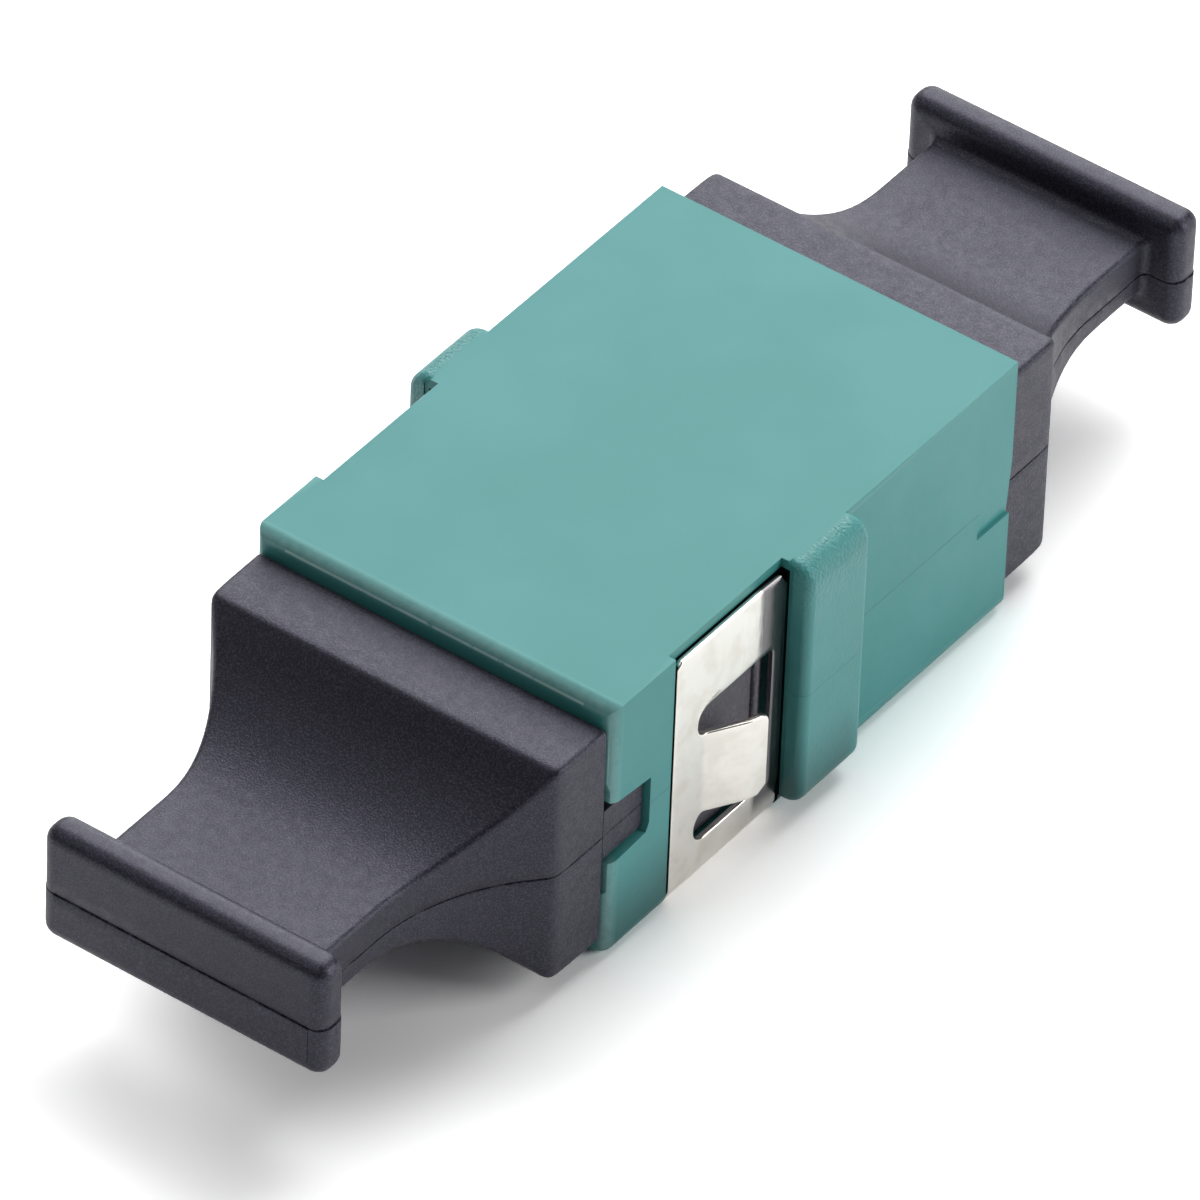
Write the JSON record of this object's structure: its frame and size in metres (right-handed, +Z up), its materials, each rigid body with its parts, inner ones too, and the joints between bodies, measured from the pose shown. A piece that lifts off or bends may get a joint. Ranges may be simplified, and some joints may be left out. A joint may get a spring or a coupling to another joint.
{
  "type": "fibre optic adapter",
  "caption": "Straight-through multi-fibre push-on adapter with a reduced flange, a steel panel clip with spring tongues, and a dust cap in each port.",
  "frame": {"origin": "centre of the underside, midway between the two ports", "axes": "+Y along the mating axis from the front port to the rear port, +X across the width, +Z up through the thickness"},
  "size_m": [0.0146, 0.0428, 0.0095],
  "materials": {
    "aqua_moulding": "satin moulded polymer",
    "spring_steel": "bright rolled sheet",
    "latch_black": "fine textured moulding",
    "cap_black": "fine textured moulding"
  },
  "bodies": {
    "adapter": {"housing": "aqua_moulding", "retaining_clip": "spring_steel", "latch_insert": "latch_black"},
    "front_cap": {"dust_cap_front": "cap_black"},
    "rear_cap": {"dust_cap_rear": "cap_black"}
  },
  "joints": [
    {"name": "front_cap_pull", "type": "slide", "parent": "adapter", "child": "front_cap", "axis": [0, -1, 0], "range_m": [0, 0.012]},
    {"name": "rear_cap_pull", "type": "slide", "parent": "adapter", "child": "rear_cap", "axis": [0, 1, 0], "range_m": [0, 0.012]}
  ]
}
